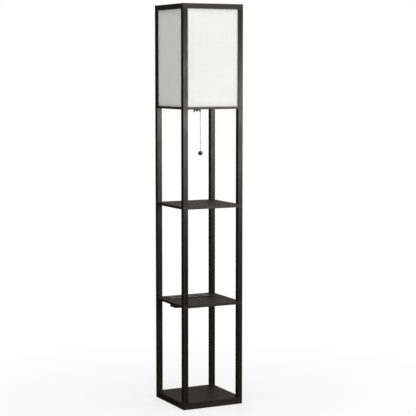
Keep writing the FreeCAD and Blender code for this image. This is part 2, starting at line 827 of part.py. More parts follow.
def bulb_globe():
    neck = size("bulb_neck_radius")
    radius = size("bulb_radius")
    rise = size("bulb_rise")
    wall = size("bulb_wall")
    outer = bulb_form(neck, radius, rise, 0)
    inner = bulb_form(neck - wall, radius - wall, rise, wall)
    foot = f"{LAMP_TIP} + lamp_tip_height + lamp_cap_height"
    made("bulb_globe", outer.cut(inner), "0", "socket_back", foot)


# Pull switch and bead chain ----------------------------------------------------------------------

CHAIN_Y = "(socket_back - chain_reach)"
MOUTH = f"({SOCKET_FLOOR} + arm_lift - guide_drop)"
SWIVEL = f"({MOUTH} + swivel_rise)"
BALL = f"({SWIVEL} - bead_pitch * hanging_beads + ball_cover - ball_radius)"


def switch_arm():
    """The arm of the lamp holder that the chain's switch sits in, with a rounded nose."""
    body = new_body("switch_arm", y="socket_back", z=f"{SOCKET_FLOOR} + arm_lift")
    plan = new_sketch(body, "XY_Plane")
    oblong(plan, "arm_width", f"chain_reach + arm_nose - {CORE_RADIUS}", "0",
           f"-(chain_reach + arm_nose + {CORE_RADIUS}) / 2")
    pad(body, plan, "arm_height")
    chain = -size("chain_reach")

    def at_nose(middle, direction):
        return upright(middle, direction) and middle.y < chain

    ease(body, at_nose, "arm_width * arm_rounding", "Fillet")
    bore = new_sketch(body, "XY_Plane")
    rounds(bore, "guide_bore + guide_wall", [("0", "-chain_reach")])
    pocket(body, bore, "arm_height - arm_roof", up=True)


def chain_guide():
    """The bell-mouthed tube that the chain hangs out of.

    The bell widens as a parabola does: halfway down, it has a quarter of its flare.
    """
    top = "(guide_drop + guide_grip)"
    outer = "(guide_bore + guide_wall)"
    turned("chain_guide", [
        ("mouth_radius - guide_wall", "0"), ("mouth_radius", "0"), ("mouth_radius", "guide_wall"),
        (f"{outer} + (mouth_radius - {outer}) / 4", "mouth_height / 2"),
        (outer, "mouth_height"), (outer, top),
        ("guide_bore", top), ("guide_bore", "mouth_height"),
        ("guide_bore + (mouth_radius - guide_wall - guide_bore) / 4", "mouth_height / 2"),
    ], y=CHAIN_Y, z=MOUTH)


def bead_edges(heights, radius, wire):
    """The half outline of a string of beads joined by wire, from the top bead's neck to the last one's."""
    neck = math.sqrt(radius ** 2 - wire ** 2)
    edges = []
    for number, height in enumerate(heights):
        above = Vector(wire, 0, height + neck)
        below = Vector(wire, 0, height - neck)
        edges.append(Part.Arc(above, Vector(radius, 0, height), below).toShape())
        if number + 1 < len(heights):
            edges.append(Part.LineSegment(below, Vector(wire, 0, heights[number + 1] + neck)).toShape())
    return edges


def turned_string(heights, radius, wire, before, after):
    """A turned string of beads; before and after are the outline's points above and below the beads."""
    neck = math.sqrt(radius ** 2 - wire ** 2)
    start = before + [Vector(wire, 0, heights[0] + neck)]
    end = [Vector(wire, 0, heights[-1] - neck)] + after
    edges = [Part.LineSegment(a, b).toShape() for a, b in zip(start, start[1:])]
    edges += bead_edges(heights, radius, wire)
    edges += [Part.LineSegment(a, b).toShape() for a, b in zip(end, end[1:])]
    edges.append(Part.LineSegment(end[-1], start[0]).toShape())
    return Part.Face(Part.Wire(edges)).revolve(Vector(), Vector(0, 0, 1), 360)


def pull_chain():
    """Bead chain in three lengths: inside the guide, the bead it swings on, and the free length."""
    radius = size("bead_radius")
    wire = size("wire_radius")
    pitch = size("bead_pitch")
    gap = size("link_gap")
    clear = radius + gap
    # inside the guide: the beads above the swivel bead, and the wire that reaches down to it
    inside = [pitch * number for number in range(int(size("anchor_beads")), 0, -1)]
    crown = inside[0] + math.sqrt(radius ** 2 - wire ** 2)
    foot = [Vector(wire, 0, clear), Vector(0, 0, clear)]
    anchor = turned_string(inside, radius, wire, [Vector(0, 0, crown)], foot)
    made("chain_anchor", anchor, "0", CHAIN_Y, SWIVEL)
    swivel = doc.addObject("Part::Sphere", "swivel_bead")
    bind(swivel, {"Radius": "bead_radius"})
    settle(swivel, "0", CHAIN_Y, SWIVEL)
    nodes.append(swivel)
    # the free length runs through the ball to a crimped stop in the ball's underside
    hanging = [-pitch * number for number in range(1, int(size("hanging_beads")) + 1)]
    ball_foot = hanging[-1] + size("ball_cover") - 2 * size("ball_radius")
    stop_top = ball_foot + size("stop_recess") - gap
    stop_foot = stop_top - size("stop_height")
    stop = size("stop_radius")
    before = [Vector(0, 0, -clear), Vector(wire, 0, -clear)]
    after = [
        Vector(wire, 0, stop_top),
        Vector(stop, 0, stop_top),
        Vector(stop, 0, stop_foot),
        Vector(0, 0, stop_foot),
    ]
    chain = turned_string(hanging, radius, wire, before, after)
    made("bead_chain", chain, "0", CHAIN_Y, SWIVEL)


def ball_knob():
    """The ball on the chain, bored through and counterbored for the stop."""
    ball = doc.addObject("Part::Sphere", "ball")
    bind(ball, {"Radius": "ball_radius"})
    settle(ball, "0", CHAIN_Y, BALL)
    bore = rod("bead_radius + ball_bore_gap", "2 * ball_radius", "0", CHAIN_Y, f"{BALL} - ball_radius")
    recess = rod("stop_radius + ball_bore_gap", "stop_recess", "0", CHAIN_Y, f"{BALL} - ball_radius")
    knob = doc.addObject("Part::Cut", "ball_knob")
    knob.Base = ball
    knob.Tool = joined(bore, recess)
    nodes.append(knob)


# Charging module ---------------------------------------------------------------------------------

HOUSING_FLOOR = "(housing_depth - housing_wall)"


def charging_deck():
    """The plate on the shelf, with a skirt that fills the cut-out and openings for the two inserts."""
    body = new_body("charging_deck", MODULE_X, f"{MODULE_Y} + deck_back", SHELF_TOP)
    plan = new_sketch(body, "XY_Plane")
    oblong(plan, "deck_length", "deck_width")
    pad(body, plan, "deck_thickness")
    ease(body, upright, "deck_corner", "Fillet")
    ease(body, around_top(size("deck_thickness")), "deck_ease")
    skirt = new_sketch(body, "XY_Plane")
    for wall in ("0", "skirt_wall"):
        inset = f"2 * (skirt_gap + {wall})"
        oblong(skirt, f"{CUT_LENGTH} - {inset}", f"{CUT_WIDTH} - {inset}", "0", "-deck_back")
    pad(body, skirt, "shelf_thickness - skirt_short", down=True)
    openings = new_sketch(body, "XY_Plane")
    for name in ("outlet", "usb"):
        length = f"{name}_length + 2 * insert_gap"
        width = f"{name}_width + 2 * insert_gap"
        oblong(openings, length, width, f"{name}_x", "-deck_back")
    pocket(body, openings, "deck_thickness", up=True)


def charging_housing():
    """The box under the shelf: open at the top, with two screwed ears, board bosses and a cord hole."""
    body = new_body("charging_housing", MODULE_X, MODULE_Y, LOWER_SHELF)
    plan = new_sketch(body, "XY_Plane")
    oblong(plan, "housing_length", "housing_width")
    pad(body, plan, "housing_depth", down=True)
    ease(body, upright, "housing_corner", "Fillet")
    ears = new_sketch(body, "XY_Plane")
    oblong(ears, "housing_length + 2 * ear_length", "ear_width")
    pad(body, ears, "ear_thickness", down=True)
    inside = new_sketch(body, "XY_Plane")
    oblong(inside, INSIDE_LENGTH, INSIDE_WIDTH)
    pocket(body, inside, HOUSING_FLOOR)
    holes = new_sketch(body, "XY_Plane")
    rounds(holes, SCREW_HOLE, [(f"-{EAR_REACH}", "0"), (EAR_REACH, "0")])
    pocket(body, holes, "ear_thickness")
    bosses = new_sketch(body, "XY_Plane", ("0", "0", f"-{HOUSING_FLOOR}"))
    boss_x = f"({INSIDE_LENGTH} / 2 - boss_inset)"
    boss_y = f"({INSIDE_WIDTH} / 2 - boss_inset)"
    rounds(bosses, "boss_radius", corner_points(boss_x, boss_y))
    pad(body, bosses, "boss_height")
    cord_hole = new_sketch(body, "XZ_Plane", ("0", "0", "-housing_width / 2"))
    rounds(cord_hole, "bushing_radius + bushing_gap", [("bushing_offset", "-housing_depth / 2")])
    pocket(body, cord_hole, "housing_wall", up=True)


def insert(name):
    """A socket block let into the deck: a lip on top and a body below."""
    foot = f"{SHELF_TOP} + deck_thickness"
    body = new_body(f"{name}_insert", f"{MODULE_X} + {name}_x", MODULE_Y, foot)
    lip = new_sketch(body, "XY_Plane")
    oblong(lip, f"{name}_length + 2 * insert_lip", f"{name}_width + 2 * insert_lip")
    pad(body, lip, "insert_proud")
    ease(body, around_top(size("insert_proud")), "insert_ease")
    block = new_sketch(body, "XY_Plane")
    oblong(block, f"{name}_length", f"{name}_width")
    pad(body, block, f"{name}_depth", down=True)
    return body


def outlet_insert():
    body = insert("outlet")
    slots = new_sketch(body, "XY_Plane", ("0", "0", "insert_proud"))
    oblong(slots, "blade_slot", "blade_slot_long", "-blade_spacing / 2", "blade_rise")
    oblong(slots, "blade_slot", "blade_slot_short", "blade_spacing / 2", "blade_rise")
    rounds(slots, "earth_hole / 2", [("0", "blade_rise - earth_drop")])
    pocket(body, slots, "slot_depth")


def usb_insert():
    body = insert("usb")
    ports = new_sketch(body, "XY_Plane", ("0", "0", "insert_proud"))
    for side in (-1, 1):
        oblong(ports, "port_length", "port_width", f"({side}) * port_spacing / 2")
    pocket(body, ports, "port_depth")


def usb_tongues():
    tongues = []
    for side in (-1, 1):
        tongue = doc.addObject("Part::Box", "tongue")
        bind(tongue, {
            "Length": "tongue_length", "Width": "tongue_thickness", "Height": "tongue_rise",
            "Placement.Base.x": f"{MODULE_X} + usb_x + ({side}) * port_spacing / 2 - tongue_length / 2",
            "Placement.Base.y": f"{MODULE_Y} - tongue_thickness / 2",
            "Placement.Base.z": f"{SHELF_TOP} + deck_thickness + insert_proud - port_depth",
        })
        tongues.append(tongue)
    group("usb_tongues", tongues)


def charging_board():
    """The circuit board, on the housing's bosses."""
    foot = f"{LOWER_SHELF} - {HOUSING_FLOOR} + boss_height"
    body = new_body("charging_board", MODULE_X, MODULE_Y, foot)
    plan = new_sketch(body, "XY_Plane")
    oblong(plan, f"{INSIDE_LENGTH} - 2 * board_margin", f"{INSIDE_WIDTH} - 2 * board_margin")
    pad(body, plan, "board_thickness")


def housing_screws():
    seat = f"{LOWER_SHELF} - ear_thickness"
    group("housing_screws", [screw(x, y, seat, down=False) for x, y in EAR_POINTS])


def cord_bushing():
    """The empty cord inlet in the housing's rear wall."""
    rear = f"{MODULE_Y} + housing_width / 2"
    middle = f"{LOWER_SHELF} - housing_depth / 2"
    body = turned("cord_bushing", [
        ("bushing_bore", "-housing_wall"), ("bushing_radius", "-housing_wall"), ("bushing_radius", "0"),
        ("bushing_flange", "0"), ("bushing_flange - bushing_bevel", "bushing_flange_thickness"),
        ("bushing_bore", "bushing_flange_thickness"),
    ], f"{MODULE_X} + bushing_offset", rear, middle)
    body.Placement.Rotation = Rotation(Vector(0, 0, 1), Vector(0, 1, 0))


# Assembly, checks and files ----------------------------------------------------------------------

def build():
    base_board()
    posts()
    lower_shelf()
    shelf("middle_shelf", MIDDLE_SHELF)
    square_frame("shade_ring", RING, "ring_thickness")
    square_frame("top_rail", TOP_FRAME, "top_rail_height")
    shade_panels()
    post_studs()
    base_bolts()
    frame_dowels()
    socket_strap()
    strap_screws()
    lamp_nipple()
    wing_nut()
    socket_cap()
    socket_shell()
    socket_core()
    screw_shell()
    centre_contact()
    bulb_cap()
    bulb_globe()
    switch_arm()
    chain_guide()
    pull_chain()
    ball_knob()
    charging_deck()
    charging_housing()
    outlet_insert()
    usb_insert()
    usb_tongues()
    charging_board()
    housing_screws()
    cord_bushing()
    doc.recompute()


def check():
    """Stop on any failed object, empty or invalid shape, or a pocket that cut nothing."""
    for thing in doc.Objects:
        if "Invalid" in thing.State or "Error" in thing.State:
            raise RuntimeError(f"{thing.Label} failed: {thing.State}")
        if thing.isDerivedFrom("PartDesign::Pocket"):
            removed = thing.BaseFeature.Shape.Volume - thing.Shape.Volume
            if removed < LEAST_CUT:
                raise RuntimeError(f"{thing.Label} cuts nothing")
    for node in nodes:
        if node.Shape.isNull() or not node.Shape.isValid() or not node.Shape.Solids:
            raise RuntimeError(f"{node.Label} has no valid solid")


def write():
    os.makedirs("parts", exist_ok=True)
    for node in nodes:
        node.Shape.exportStep(f"parts/{node.Label}.step")
    print(f"{len(nodes)} sub-parts written")


build()
check()
write()
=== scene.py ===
"""The looks of the shelf floor lamp: finishes, small fasteners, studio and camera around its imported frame.

Lengths are in metres. The lamp stands on the floor at the origin, +Z is up and its front faces -Y.
"""
import json
import math

import bmesh
import bpy
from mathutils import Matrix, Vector


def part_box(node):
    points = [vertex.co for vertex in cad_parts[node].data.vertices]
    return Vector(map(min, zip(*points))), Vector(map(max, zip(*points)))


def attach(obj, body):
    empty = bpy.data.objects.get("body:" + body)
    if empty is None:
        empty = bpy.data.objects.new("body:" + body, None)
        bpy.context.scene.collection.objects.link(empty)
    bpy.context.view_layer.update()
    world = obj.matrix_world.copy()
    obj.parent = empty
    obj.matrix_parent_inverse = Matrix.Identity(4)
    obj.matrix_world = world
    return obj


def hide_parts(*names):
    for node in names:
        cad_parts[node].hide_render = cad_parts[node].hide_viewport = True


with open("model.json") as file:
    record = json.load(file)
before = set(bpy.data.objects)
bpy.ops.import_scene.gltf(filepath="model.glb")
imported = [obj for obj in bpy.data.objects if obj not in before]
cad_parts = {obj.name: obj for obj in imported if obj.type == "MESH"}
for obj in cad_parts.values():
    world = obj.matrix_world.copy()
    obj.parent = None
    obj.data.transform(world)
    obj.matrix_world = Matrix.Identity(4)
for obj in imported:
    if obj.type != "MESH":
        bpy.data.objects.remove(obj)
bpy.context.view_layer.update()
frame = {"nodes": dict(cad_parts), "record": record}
nodes = frame["nodes"]

MILLIMETRE = 0.001

# The camera, fitted to the edges of the lamp in the photograph.
CAMERA_AT = Vector((-2.473, -4.994, 1.335))
CAMERA_YAW = math.radians(26.73)
CAMERA_PITCH = math.radians(5.66)
CAMERA_LENS = 121.15
SENSOR = 36.0
CAMERA_REACH = 100.0

# The world's light on the lamp. A level of 1 shows a colour as it is written.
AMBIENT_LEVEL = 0.405
WHITE = (1.0, 1.0, 1.0)

# The floor. Its white glow is the near share up to the first distance, and full from the second on.
FLOOR_COLOUR = (0.90, 0.90, 0.90)
FLOOR_SIZE = 60.0
FLOOR_NEAR_WHITE = 0.72
FLOOR_FADE = (0.2, 1.3)

# The dark cards. They are darkest at the left and lightest at the right, and the lean moves these ends
# to the rear and the front.
WALL_GREY = (0.03, 0.28)
WALL_LEAN = 0.6
WALL_RADIUS = 3.6
WALL_HEIGHT = 2.7
APRON_RADIUS = 0.1
APRON_LIFT = 2 * MILLIMETRE
WALL_SIDES = 64

# Colours, linear.
PAINT = (0.0125, 0.0116, 0.0094)
PAINT_DEEP = (0.0052, 0.0046, 0.0037)
PORE = (0.0020, 0.0017, 0.0014)
# The boards' and rails' paint, lighter than the posts' as a painted highlight.
BOARD_PAINT_WITH_HIGHLIGHT = (0.0190, 0.0162, 0.0132)
PAINT_SHEEN = (1.0, 0.985, 0.885, 1.0)
# The lighter colour of eased edges: rubbed wear in patches and a painted highlight along every edge.
EDGE_WEAR_AND_HIGHLIGHT = (0.105, 0.080, 0.054)
CLOTH = (0.945, 0.942, 0.892)
# The cloth's darker colour: painted shade in the weave's hollows, and the tone of thick slubs.
CLOTH_SHADE_AND_SLUB = (0.81, 0.805, 0.75)
BEECH = (0.50, 0.34, 0.20)
BEECH_DARK = (0.36, 0.22, 0.12)
ZINC = (0.56, 0.57, 0.58)
BRASS = (0.74, 0.52, 0.22)
NICKEL = (0.74, 0.72, 0.68)
ALUMINIUM = (0.77, 0.77, 0.78)
BLACK_STEEL = (0.020, 0.019, 0.018)
PHENOLIC = (0.016, 0.015, 0.015)
MODULE = (0.105, 0.100, 0.092)
# The deck's dark band and sides, a painted shadow of the gap round the deck.
MODULE_PAINTED_SHADOW = (0.005, 0.005, 0.005)
HOUSING = (0.014, 0.014, 0.014)
INSERT = (0.018, 0.018, 0.019)
BALL = (0.004, 0.004, 0.004)
OPAL = (0.90, 0.89, 0.86)
PORT_BLACK = (0.020, 0.020, 0.021)
BOARD_GREEN = (0.016, 0.085, 0.040)
BOARD_TRACE = (0.030, 0.150, 0.070)

# Timber: the specular level, the range of roughness and the tone of its paint. The boards' and rails' tone is
# lighter than the posts', a painted highlight.
UPRIGHT_TIMBER = (0.20, (0.26, 0.36), PAINT)
BOARD_TIMBER = (0.36, (0.37, 0.47), BOARD_PAINT_WITH_HIGHLIGHT)

# The painted shadow round the charging module's deck, a dark band on its top, and the soft line at the band's
# inner edge.
DECK_SHADOW_BAND = 4.5 * MILLIMETRE
DECK_SHADOW_BLUR = 0.3 * MILLIMETRE

# The sockets of a Mix node that works on colours.
MIX_SHARE, MIX_FIRST, MIX_SECOND, MIX_RESULT = 0, 6, 7, 2

# An edge between faces that turn by more than this stays sharp.
SHARP = math.radians(35)

# Where the small pieces sit in the CAD model, in millimetres.
HOLDER_Y = 13.0
NIPPLE_FOOT = 1167.4
STRAP_SCREW_X = (-115.5, 115.5)
STRAP_TOP = 1191.5
MODULE_Y = 67.5
HOUSING_SCREW_X = (-90.0, 70.0)
HOUSING_FLOOR = 401.5
PORT_X = (16.0, 34.0)
PORT_TOP = 417.25
POST_CENTRES = (-119.75, 119.75)
BOLT_SEAT = 4.0

# How far a cutting blade starts above the face that it cuts, the distance below which two points are one,
# and a thread's points to a turn. The first two are in millimetres.
CLEAR = 0.4
SAME_POINT = 1e-6
THREAD_STEPS = 6


# Finishes ----------------------------------------------------------------------------------------

class Finish:
    """A material on one Principled BSDF, with short ways to add nodes and join them."""

    def __init__(self, name, colour, roughness, **uniform):
        self.material = bpy.data.materials.new(name)
        self.material.use_nodes = True
        self.nodes = self.material.node_tree.nodes
        self.links = self.material.node_tree.links
        self.surface = self.nodes["Principled BSDF"]
        self.surface.inputs["Base Color"].default_value = (*colour, 1.0)
        self.surface.inputs["Roughness"].default_value = roughness
        for socket, value in uniform.items():
            self.surface.inputs[socket.replace("_", " ")].default_value = value

    def add(self, kind, inputs, **settings):
        """A node of one kind; inputs holds a value or another node's socket for each of its own sockets."""
        made = self.nodes.new(kind)
        for name, value in settings.items():
            setattr(made, name, value)
        for socket, value in inputs.items():
            if isinstance(value, bpy.types.NodeSocket):
                self.links.new(value, made.inputs[socket])
            else:
                made.inputs[socket].default_value = value
        return made

    def work(self, operation, *values):
        """One step of arithmetic on numbers and sockets."""
        return self.add("ShaderNodeMath", dict(enumerate(values)), operation=operation).outputs[0]

    def wave(self, angle):
        """Rounded humps, one for each half turn of the angle."""
        return self.work("ABSOLUTE", self.work("SINE", angle))

    def point(self, stretch=(1.0, 1.0, 1.0)):
        """The place on the object, each axis multiplied by stretch."""
        coordinates = self.nodes.new("ShaderNodeTexCoord").outputs["Object"]
        return self.add("ShaderNodeMapping", {"Vector": coordinates, "Scale": stretch}).outputs[0]

    def axes(self, vector):
        """The three parts of a vector, by axis name."""
        parts = self.add("ShaderNodeSeparateXYZ", {0: vector}).outputs
        return dict(zip("xyz", parts))

    def noise(self, stretch, detail=3.0, roughness=0.5):
        """Noise with patches of one over stretch in size: one number for all axes, or one for each."""
        if isinstance(stretch, float):
            stretch = (stretch,) * 3
        inputs = {"Vector": self.point(stretch), "Scale": 1.0, "Detail": detail, "Roughness": roughness}
        return self.add("ShaderNodeTexNoise", inputs).outputs[0]

    def between(self, value, low, high, first=0.0, last=1.0):
        """Value, carried from the range low to high onto first to last and held there."""
        inputs = {0: value, 1: low, 2: high, 3: first, 4: last}
        return self.add("ShaderNodeMapRange", inputs).outputs[0]

    def mix(self, share, first, second):
        """A colour between two colours."""
        def rgba(colour):
            return (*colour, 1.0) if isinstance(colour, tuple) else colour
        inputs = {MIX_SHARE: share, MIX_FIRST: rgba(first), MIX_SECOND: rgba(second)}
        return self.add("ShaderNodeMix", inputs, data_type="RGBA").outputs[MIX_RESULT]

    def colour(self, socket):
        """Take the surface's colour from a socket."""
        self.links.new(socket, self.surface.inputs["Base Color"])

    def rough(self, socket):
        """Take the surface's roughness from a socket."""
        self.links.new(socket, self.surface.inputs["Roughness"])

    def relief(self, height, depth):
        """Bump from a height of 0 to 1 that stands for depth metres."""
        bump = self.add("ShaderNodeBump", {"Height": height, "Distance": depth, "Strength": 1.0})
        self.links.new(bump.outputs[0], self.surface.inputs["Normal"])


def painted_timber(grain):
    """Near-black satin paint, with the wood's pores faint under it; its eased edges are lighter, partly rubbed
    wear in patches and partly a painted highlight along every edge.
    """
    # For boards and rails the tone is lighter, a painted highlight.
    level, gloss, tone = UPRIGHT_TIMBER if grain == "z" else BOARD_TIMBER
    finish = Finish(f"painted_timber_{grain}", PAINT, 0.3, Specular_IOR_Level=level, Specular_Tint=PAINT_SHEEN)
    along, across, figure_width = 7.0, 620.0, 9
    fine = [along if axis == grain else across for axis in "xyz"]
    coarse = [value / figure_width for value in fine]
    pores = finish.noise(fine, detail=5.0, roughness=0.62)
    figure = finish.noise(coarse)
    mottle = finish.noise(11.0)
    paint = finish.mix(finish.between(figure, 0.38, 0.60), PAINT_DEEP, tone)
    paint = finish.mix(finish.between(pores, 0.50, 0.38, last=0.7), paint, PORE)
    facing = finish.axes(finish.nodes.new("ShaderNodeNewGeometry").outputs["True Normal"])
    straight = [finish.work("ABSOLUTE", facing[axis]) for axis in "xyz"]
    square = finish.work("MAXIMUM", finish.work("MAXIMUM", straight[0], straight[1]), straight[2])
    on_edge = finish.between(square, 0.93, 0.80)
    # Every eased edge gets some of the lighter colour, a painted highlight, and more in patches of rubbed
    # wear.
    patches = finish.between(finish.noise(70.0, detail=4.0), 0.50, 0.64, first=0.12, last=0.60)
    finish.colour(finish.mix(finish.work("MULTIPLY", on_edge, patches), paint, EDGE_WEAR_AND_HIGHLIGHT))
    uneven = finish.work("ADD", finish.work("MULTIPLY", mottle, 0.6), finish.work("MULTIPLY", pores, 0.4))
    finish.rough(finish.between(uneven, 0.35, 0.65, *gloss))
    finish.relief(finish.work("ADD", finish.work("MULTIPLY", figure, 0.5), pores), 0.15 * MILLIMETRE)
    return finish.material


def shade_cloth(across):
    """Off-white laminated linen in a plain weave, with slubs; across is the panel's level axis."""
    finish = Finish(
        f"shade_cloth_{across}", CLOTH, 0.82, Specular_IOR_Level=0.25, Sheen_Weight=0.12, Sheen_Roughness=0.45,
        Subsurface_Weight=0.75, Subsurface_Radius=(1.0, 0.97, 0.9), Subsurface_Scale=2.6 * MILLIMETRE,
    )
    thread = 0.78 * MILLIMETRE
    thin, long = 0.9 / thread, 14.0
    swell = 0.55
    place = finish.axes(finish.point())
    warp_slub = finish.noise([thin if axis == across else long for axis in "xyz"], detail=2.0)
    weft_slub = finish.noise([thin if axis == "z" else long for axis in "xyz"], detail=2.0)
    threads = []
    for axis, slub in ((across, warp_slub), ("z", weft_slub)):
        wander = finish.work("MULTIPLY", slub, swell)
        threads.append(finish.work("ADD", finish.work("DIVIDE", place[axis], thread), wander))
    crowns = [finish.wave(finish.work("MULTIPLY", count, math.pi)) for count in threads]
    cells = finish.work("ADD", finish.work("FLOOR", threads[0]), finish.work("FLOOR", threads[1]))
    over = finish.work("PINGPONG", cells, 1.0)
    under = finish.work("SUBTRACT", 1.0, over)
    warp = finish.work("MULTIPLY", over, crowns[0])
    weft = finish.work("MULTIPLY", under, crowns[1])
    weave = finish.work("ADD", warp, weft)
    slubs = finish.work("MAXIMUM", warp_slub, weft_slub)
    even = finish.between(slubs, 0.45, 0.72, first=0.5, last=0.0)
    # Darker in the weave's hollows between threads, a painted shade, and at the thick slubs.
    weave_shade_and_slubs = finish.work("ADD", finish.work("MULTIPLY", weave, 0.5), even)
    finish.colour(finish.mix(finish.between(weave_shade_and_slubs, 0.15, 0.8), CLOTH_SHADE_AND_SLUB, CLOTH))
    finish.relief(finish.work("ADD", weave, finish.work("MULTIPLY", slubs, 0.7)), 0.12 * MILLIMETRE)
    return finish.material


def bare_wood():
    """Bare dowel stock with short dark flecks along the grain."""
    finish = Finish("bare_beech", BEECH, 0.62)
    flecks = finish.noise((900.0, 900.0, 120.0), detail=4.0)
    finish.colour(finish.mix(finish.between(flecks, 0.42, 0.62), BEECH, BEECH_DARK))
    finish.relief(flecks, 0.05 * MILLIMETRE)
    return finish.material


def moulded(name, colour, roughness, texture, depth, **uniform):
    """Moulded plastic or paint: a fine texture, and a gloss that varies a little from place to place."""
    finish = Finish(name, colour, roughness, **uniform)
    fine = finish.noise(texture, detail=2.0)
    broad = finish.noise(55.0)
    dull = tuple(channel * 1.35 for channel in colour)
    finish.colour(finish.mix(finish.between(broad, 0.45, 0.75, last=0.6), colour, dull))
    finish.rough(finish.between(broad, 0.3, 0.7, roughness * 0.82, roughness * 1.22))
    finish.relief(fine, depth)
    return finish.material


def deck_plastic():
    """Smooth moulded top inside a dark band, which goes on down the sides: the band and the sides are a
    painted shadow of the gap round the deck.
    """
    finish = Finish("module_plastic", MODULE, 0.2, Specular_IOR_Level=0.6)
    up = finish.axes(finish.nodes.new("ShaderNodeNewGeometry").outputs["True Normal"])["z"]
    place = finish.axes(finish.point())
    insets = []
    for axis, low, high in zip("xy", *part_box("charging_deck")):
        off = finish.work("ABSOLUTE", finish.work("SUBTRACT", place[axis], (low + high) / 2))
        insets.append(finish.work("SUBTRACT", (high - low) / 2, off))
    inside = finish.between(finish.work("MINIMUM", *insets), DECK_SHADOW_BAND, DECK_SHADOW_BAND + DECK_SHADOW_BLUR)
    top = finish.work("MULTIPLY", finish.between(up, 0.35, 0.75), inside)
    broad = finish.noise(55.0)
    fine = finish.noise(1900.0, detail=2.0)
    # The band and the sides take the painted shadow; the rest of the top keeps the plastic's colour.
    finish.colour(finish.mix(top, MODULE_PAINTED_SHADOW, MODULE))
    gloss = finish.between(broad, 0.3, 0.7, first=0.15, last=0.25)
    finish.rough(finish.between(top, 0.0, 1.0, first=0.8, last=gloss))
    finish.relief(fine, 0.012 * MILLIMETRE)
    return finish.material


def metal(name, colour, roughness, stretch=1400.0):
    """Plated or rolled metal with fine marks and duller patches."""
    finish = Finish(name, colour, roughness, Metallic=1.0)
    marks = finish.noise(stretch, detail=4.0, roughness=0.65)
    patches = finish.noise(160.0)
    tarnish = tuple(channel * 0.62 for channel in colour)
    finish.colour(finish.mix(finish.between(patches, 0.5, 0.75, last=0.7), colour, tarnish))
    finish.rough(finish.between(patches, 0.3, 0.7, roughness * 0.75, roughness * 1.4))
    finish.relief(marks, 0.012 * MILLIMETRE)
    return finish.material


def circuit_board():
    """Green solder mask over square-cornered traces."""
    finish = Finish("circuit_board", BOARD_GREEN, 0.35)
    place = finish.axes(finish.point((260.0, 260.0, 260.0)))
    lanes = finish.wave(finish.work("ADD", place["x"], finish.work("FLOOR", place["y"])))
    finish.colour(finish.mix(finish.between(lanes, 0.72, 0.8), BOARD_GREEN, BOARD_TRACE))
    finish.relief(lanes, 0.03 * MILLIMETRE)
    return finish.material


finishes = {
    "bare_beech": bare_wood(),
    "zinc_steel": metal("zinc_steel", ZINC, 0.34),
    "black_steel": moulded("black_steel", BLACK_STEEL, 0.42, 1500.0, 0.03 * MILLIMETRE),
    "black_phenolic": moulded("black_phenolic", PHENOLIC, 0.22, 700.0, 0.008 * MILLIMETRE, Coat_Weight=0.3),
    "brass": metal("brass", BRASS, 0.26),
    "nickel": metal("nickel", NICKEL, 0.17, (2600.0, 2600.0, 900.0)),
    "black_ball": moulded(
        "black_ball", BALL, 0.10, 420.0, 0.004 * MILLIMETRE, Coat_Weight=1.0, Coat_Roughness=0.04,
    ),
    "bulb_metal": metal("bulb_metal", ALUMINIUM, 0.28, (500.0, 500.0, 3000.0)),
    "opal_diffuser": moulded(
        "opal_diffuser", OPAL, 0.38, 900.0, 0.01 * MILLIMETRE,
        Subsurface_Weight=0.5, Subsurface_Scale=2.0 * MILLIMETRE,
    ),
    "module_plastic": deck_plastic(),
    "housing_plastic": moulded("housing_plastic", HOUSING, 0.55, 1300.0, 0.06 * MILLIMETRE),
    "insert_plastic": moulded("insert_plastic", INSERT, 0.24, 2200.0, 0.012 * MILLIMETRE),
    "port_plastic": moulded("port_plastic", PORT_BLACK, 0.45, 2000.0, 0.01 * MILLIMETRE),
    "circuit_board": circuit_board(),
}
timber = {grain: painted_timber(grain) for grain in "xyz"}
cloth = {across: shade_cloth(across) for across in "xy"}


def dress(node, finish):
    """Give a CAD node one finish."""
    shown = nodes[node]
    shown.data.materials.clear()
    shown.data.materials.append(finish)


def dress_nodes():
    """Finish every CAD node by its slot in the record, with timber and cloth turned the way they run."""
    slots = {row["node"]: row["material_slot"] for row in frame["record"]["subparts"]}
    for node, slot in slots.items():
        if slot == "painted_timber":
            side = node.rsplit("_", 1)[-1]
            grain = "z" if "_post_" in node else "y" if side in ("left", "right") else "x"
            dress(node, timber[grain])
        elif slot == "shade_cloth":
            dress(node, cloth["x" if node.endswith(("front", "rear")) else "y"])
        else:
            dress(node, finishes[slot])


dress_nodes()


# Pieces ------------------------------------------------------------------------------------------

def revolve(build, profile, segments, ridge=None, capped=False):
    """Rings of vertices round a vertical axis, one for each radius and height, joined in order.

    ridge(height, turn) is added to the radius of a point that has True as its third value, with turn from 0
    to 1 round the axis. A capped form has its first and last ring closed with a face.
    """
    rings = []
    for radius, height, *ridged in profile:
        ring = []
        for step in range(segments):
            turn = step / segments
            reach = radius + (ridge(height, turn) if ridged else 0.0)
            angle = 2 * math.pi * turn
            ring.append(build.verts.new((reach * math.cos(angle), reach * math.sin(angle), height)))
        rings.append(ring)
    for lower, upper in zip(rings, rings[1:]):
        for k in range(segments):
            n = (k + 1) % segments
            build.faces.new((lower[k], lower[n], upper[n], upper[k]))
    if capped:
        build.faces.new(rings[0])
        build.faces.new(rings[-1])


def add_object(name, data):
    """A new object in the scene."""
    made = bpy.data.objects.new(name, data)
    bpy.context.scene.collection.objects.link(made)
    return made


def piece_from(name, build, material):
    """An object of what is built so far, in metres, smooth but for its sharp edges."""
    mesh = bpy.data.meshes.new(name)
    build.normal_update()
    bmesh.ops.recalc_face_normals(build, faces=build.faces)
    build.to_mesh(mesh)
    build.free()
    mesh.shade_smooth()
    mesh.set_sharp_from_angle(angle=SHARP)
    mesh.materials.append(material)
    return add_object(name, mesh)


